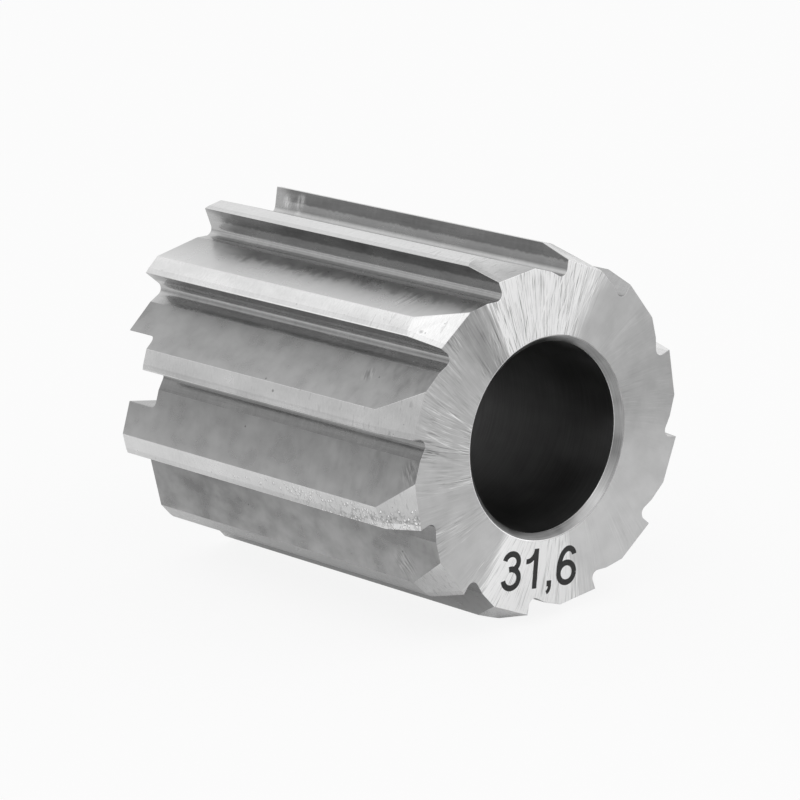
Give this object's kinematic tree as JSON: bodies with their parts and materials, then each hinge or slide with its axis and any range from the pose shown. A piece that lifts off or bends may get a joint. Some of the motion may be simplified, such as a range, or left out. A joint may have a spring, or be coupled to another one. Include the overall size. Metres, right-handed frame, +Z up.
{
  "type": "seat tube reamer",
  "caption": "Shell reamer head for seat tubes: straight-fluted steel cylinder with a lead facet on every tooth, a through bore and a drive slot across the back.",
  "frame": {"origin": "on the bench under the middle of the head, which lies on two of its teeth", "axes": "+Z up; Y along the bore, with the front face and its lead facets towards -Y and the drive slot towards +Y; +X to the right seen from the front"},
  "size_m": [0.0308, 0.038, 0.0309],
  "materials": {
    "tool_steel": "ground, with fine cutter marks in the flutes"
  },
  "bodies": {
    "root": {"reamer_head": "tool_steel"}
  },
  "joints": []
}
